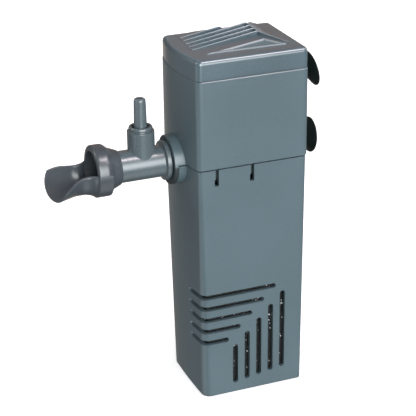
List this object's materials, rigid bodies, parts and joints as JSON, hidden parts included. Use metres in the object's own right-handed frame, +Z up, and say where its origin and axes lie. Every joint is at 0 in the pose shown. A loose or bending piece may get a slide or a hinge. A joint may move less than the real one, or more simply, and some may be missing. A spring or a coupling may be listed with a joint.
{
  "type": "internal power filter",
  "caption": "Upright internal aquarium filter: slotted sponge canister, pump head, swivelling outlet with air inlet and duckbill nozzle, suction cups behind.",
  "frame": {"origin": "centre of the canister's underside, on the surface the filter stands on", "axes": "+Z up along the body, -Y out of the outlet side, +Y towards the glass, +X out of the face with the intake slots"},
  "size_m": [0.0476, 0.1331, 0.1817],
  "materials": {
    "housing_plastic": "satin blue-grey moulded plastic",
    "cap_plastic": "satin blue-grey moulded plastic",
    "outlet_plastic": "smooth blue-grey moulded plastic",
    "filter_foam": "open-cell black foam",
    "white_plastic": "natural white moulded plastic",
    "ferrite": "ground ferrite",
    "ceramic": "polished ceramic",
    "black_rubber": "smooth moulded rubber",
    "laminated_steel": "stacked laminations",
    "copper_wire": "enamelled copper wire",
    "potting_resin": "poured black resin"
  },
  "bodies": {
    "canister": {"canister": "housing_plastic", "sponge": "filter_foam"},
    "head": {"pump_head": "housing_plastic", "head_cap": "cap_plastic", "stator_core": "laminated_steel", "coil_bobbin": "white_plastic", "coil_winding": "copper_wire", "resin_seal": "potting_resin", "rotor_shaft": "ceramic", "shaft_bush_upper": "black_rubber", "cable_gland": "black_rubber", "suction_cup_lower_right": "black_rubber", "suction_cup_lower_left": "black_rubber", "suction_cup_upper_right": "black_rubber", "suction_cup_upper_left": "black_rubber"},
    "cover": {"volute_cover": "housing_plastic", "shaft_bush_lower": "black_rubber"},
    "rotor": {"impeller": "white_plastic", "rotor_magnet": "ferrite"},
    "outlet": {"outlet_pipe": "outlet_plastic"},
    "spigot": {"air_spigot": "outlet_plastic"},
    "nozzle": {"flow_nozzle": "outlet_plastic"}
  },
  "joints": [
    {"name": "head_lift", "type": "slide", "parent": "canister", "child": "head", "axis": [0, 0, 1], "range_m": [0, 0.08]},
    {"name": "cover_twist", "type": "hinge", "parent": "head", "child": "cover", "pos_m": [0, -0.005, 0.1145], "axis": [0, 0, 1], "range_deg": [0, 25]},
    {"name": "impeller_spin", "type": "hinge", "parent": "head", "child": "rotor", "pos_m": [0, -0.005, 0.13], "axis": [0, 0, 1], "continuous": true},
    {"name": "outlet_swivel", "type": "hinge", "parent": "head", "child": "outlet", "pos_m": [0, -0.0363, 0.1246], "axis": [0, 1, 0], "range_deg": [-90, 90]},
    {"name": "spigot_pull", "type": "slide", "parent": "outlet", "child": "spigot", "axis": [0, 0, 1], "range_m": [0, 0.012]},
    {"name": "nozzle_spin", "type": "hinge", "parent": "outlet", "child": "nozzle", "pos_m": [0, -0.064, 0.1246], "axis": [0, 1, 0], "continuous": true}
  ]
}
